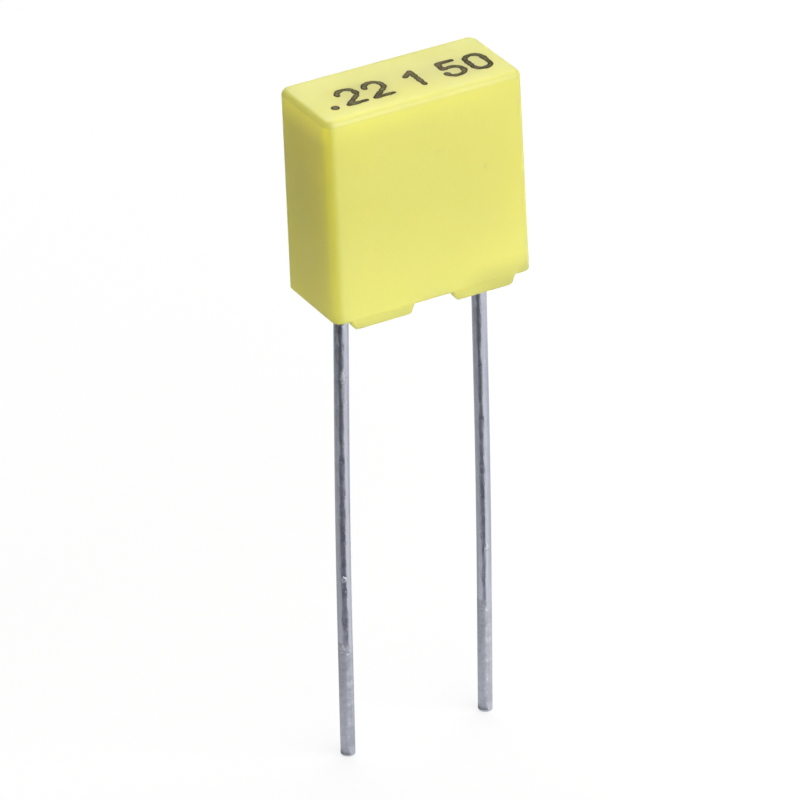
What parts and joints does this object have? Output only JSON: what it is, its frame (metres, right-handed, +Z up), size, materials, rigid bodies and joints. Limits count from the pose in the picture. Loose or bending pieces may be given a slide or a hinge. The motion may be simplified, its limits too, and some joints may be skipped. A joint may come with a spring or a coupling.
{
  "type": "polyester film capacitor",
  "caption": "Boxed polyester film capacitor: rounded moulded case on standing feet, with parallel tinned wires below it that solder it upright on a circuit board.",
  "frame": {"origin": "on the seating plane, the underside of the feet, midway between the two wires", "axes": "+Z up out of the board, +X along the case from lead_left to lead_right, -Y the long side taken as the front"},
  "size_m": [0.0072, 0.0034, 0.0242],
  "materials": {
    "case_plastic": "satin moulded polybutylene terephthalate, lemon yellow",
    "potting_resin": "cast epoxy, pale yellow, glossy",
    "metallised_film": "metallised polyester film, wound and pressed flat",
    "sprayed_metal": "sprayed zinc, matt and grainy",
    "tinned_wire": "dull tinned wire with fine drawing lines"
  },
  "bodies": {
    "root": {"case": "case_plastic", "resin_fill": "potting_resin", "film_winding": "metallised_film", "end_spray_left": "sprayed_metal", "end_spray_right": "sprayed_metal", "lead_left": "tinned_wire", "lead_right": "tinned_wire"}
  },
  "joints": []
}
